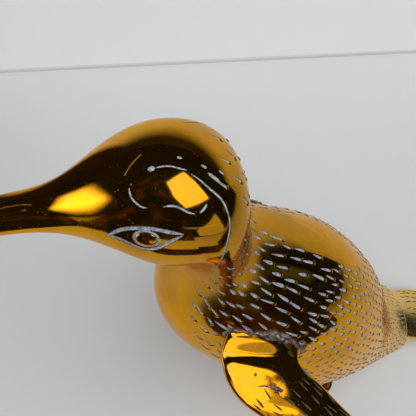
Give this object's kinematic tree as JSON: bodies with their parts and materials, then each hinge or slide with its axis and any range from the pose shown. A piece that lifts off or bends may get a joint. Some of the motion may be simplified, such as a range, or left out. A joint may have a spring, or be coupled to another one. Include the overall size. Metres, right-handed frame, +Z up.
{
  "type": "brass penguin figurine",
  "caption": "Polished brass penguin with a long beak, one flipper held out and one laid against its side, a flat tail and webbed feet, chiselled with feather marks; a free-standing ornament.",
  "frame": {"origin": "on the table, under the middle of the bounding box", "axes": "+Z up, the beak points to -Y and the bird's left side is +X"},
  "size_m": [0.1978, 0.3418, 0.2795],
  "materials": {
    "polished_brass": "mirror polished, chalky polish residue in the chiselled marks",
    "braze_filler": "rough as brazed, grey with a purple cast"
  },
  "bodies": {
    "root": {"head_casting": "polished_brass", "torso_left_half": "polished_brass", "torso_right_half": "polished_brass", "left_flipper": "polished_brass", "right_flipper": "polished_brass", "tail_casting": "polished_brass", "left_foot": "polished_brass", "right_foot": "polished_brass", "left_flipper_braze": "braze_filler", "right_flipper_braze": "braze_filler", "tail_braze": "braze_filler", "left_leg_braze": "braze_filler", "right_leg_braze": "braze_filler"}
  },
  "joints": []
}
